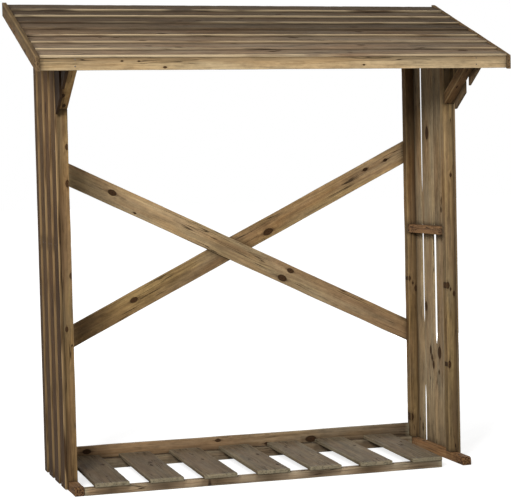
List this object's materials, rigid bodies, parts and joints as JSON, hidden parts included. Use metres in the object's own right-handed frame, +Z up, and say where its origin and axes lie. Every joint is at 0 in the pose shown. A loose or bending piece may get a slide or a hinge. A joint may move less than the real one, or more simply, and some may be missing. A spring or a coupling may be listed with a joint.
{
  "type": "log store",
  "caption": "Open-fronted garden log store with slatted sides, a cross-braced open back, a slatted floor and a lapped lean-to roof that overhangs the front on slanting struts.",
  "frame": {"origin": "on the ground, at the middle of the footprint of the whole store", "axes": "+Z up; -Y is the open front, where the roof is low; +X is right as seen from the front"},
  "size_m": [1.794, 0.7142, 1.8184],
  "materials": {
    "frame_softwood": "sawn, weathered",
    "side_softwood": "sawn, weathered",
    "roof_softwood": "sawn, weathered",
    "pale_softwood": "sawn, weathered",
    "floor_softwood": "sawn, weathered",
    "ruddy_softwood": "sawn, weathered"
  },
  "bodies": {
    "root": {"left_skid": "ruddy_softwood", "right_skid": "ruddy_softwood", "left_front_post": "frame_softwood", "right_front_post": "frame_softwood", "left_back_post": "frame_softwood", "right_back_post": "frame_softwood", "left_mid_rail": "ruddy_softwood", "right_mid_rail": "ruddy_softwood", "left_rafter": "frame_softwood", "right_rafter": "frame_softwood", "back_top_rail": "frame_softwood", "left_side_board_1": "side_softwood", "left_side_board_2": "side_softwood", "left_side_board_3": "side_softwood", "left_side_board_4": "side_softwood", "right_side_board_1": "side_softwood", "right_side_board_2": "side_softwood", "right_side_board_3": "side_softwood", "right_side_board_4": "side_softwood", "left_brow_boards": "side_softwood", "right_brow_boards": "side_softwood", "left_strut": "frame_softwood", "right_strut": "frame_softwood", "roof_board_1": "roof_softwood", "roof_board_2": "roof_softwood", "roof_board_3": "roof_softwood", "roof_board_4": "roof_softwood", "roof_board_5": "roof_softwood", "roof_board_6": "roof_softwood", "roof_board_7": "roof_softwood", "roof_board_8": "roof_softwood", "fascia": "pale_softwood", "left_barge_board": "frame_softwood", "right_barge_board": "frame_softwood", "front_floor_rail": "floor_softwood", "back_floor_rail": "floor_softwood", "floor_slat_1": "floor_softwood", "floor_slat_2": "floor_softwood", "floor_slat_3": "floor_softwood", "floor_slat_4": "floor_softwood", "floor_slat_5": "floor_softwood", "floor_slat_6": "floor_softwood", "floor_slat_7": "floor_softwood", "kick_board": "floor_softwood", "back_brace_falling": "frame_softwood", "back_brace_rising": "frame_softwood"}
  },
  "joints": []
}
